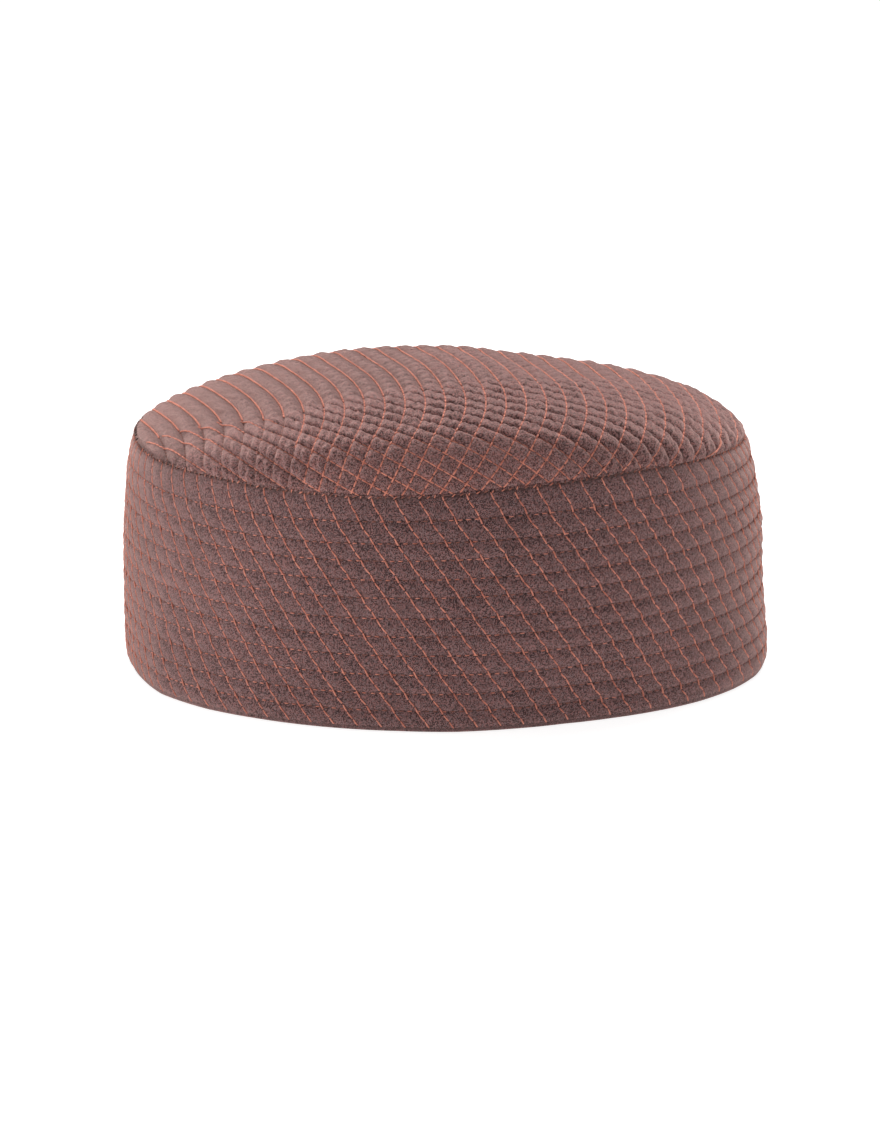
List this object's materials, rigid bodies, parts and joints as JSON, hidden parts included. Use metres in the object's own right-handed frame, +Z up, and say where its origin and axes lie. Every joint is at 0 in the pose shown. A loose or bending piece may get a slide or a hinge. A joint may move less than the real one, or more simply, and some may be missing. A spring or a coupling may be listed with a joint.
{
  "type": "quilted round cap",
  "caption": "Round brimless cap of quilted cloth: an upright band stitched in level channels and a low domed crown, open underneath for the head.",
  "frame": {"origin": "centre of the hem's circle, on the surface the cap rests on", "axes": "+Z up through the crown, -Y towards the side the picture shows in front"},
  "size_m": [0.191, 0.191, 0.092],
  "materials": {
    "band_cloth": "matte",
    "crown_cloth": "matte"
  },
  "bodies": {
    "root": {"side_band": "band_cloth", "crown_panel": "crown_cloth"}
  },
  "joints": []
}
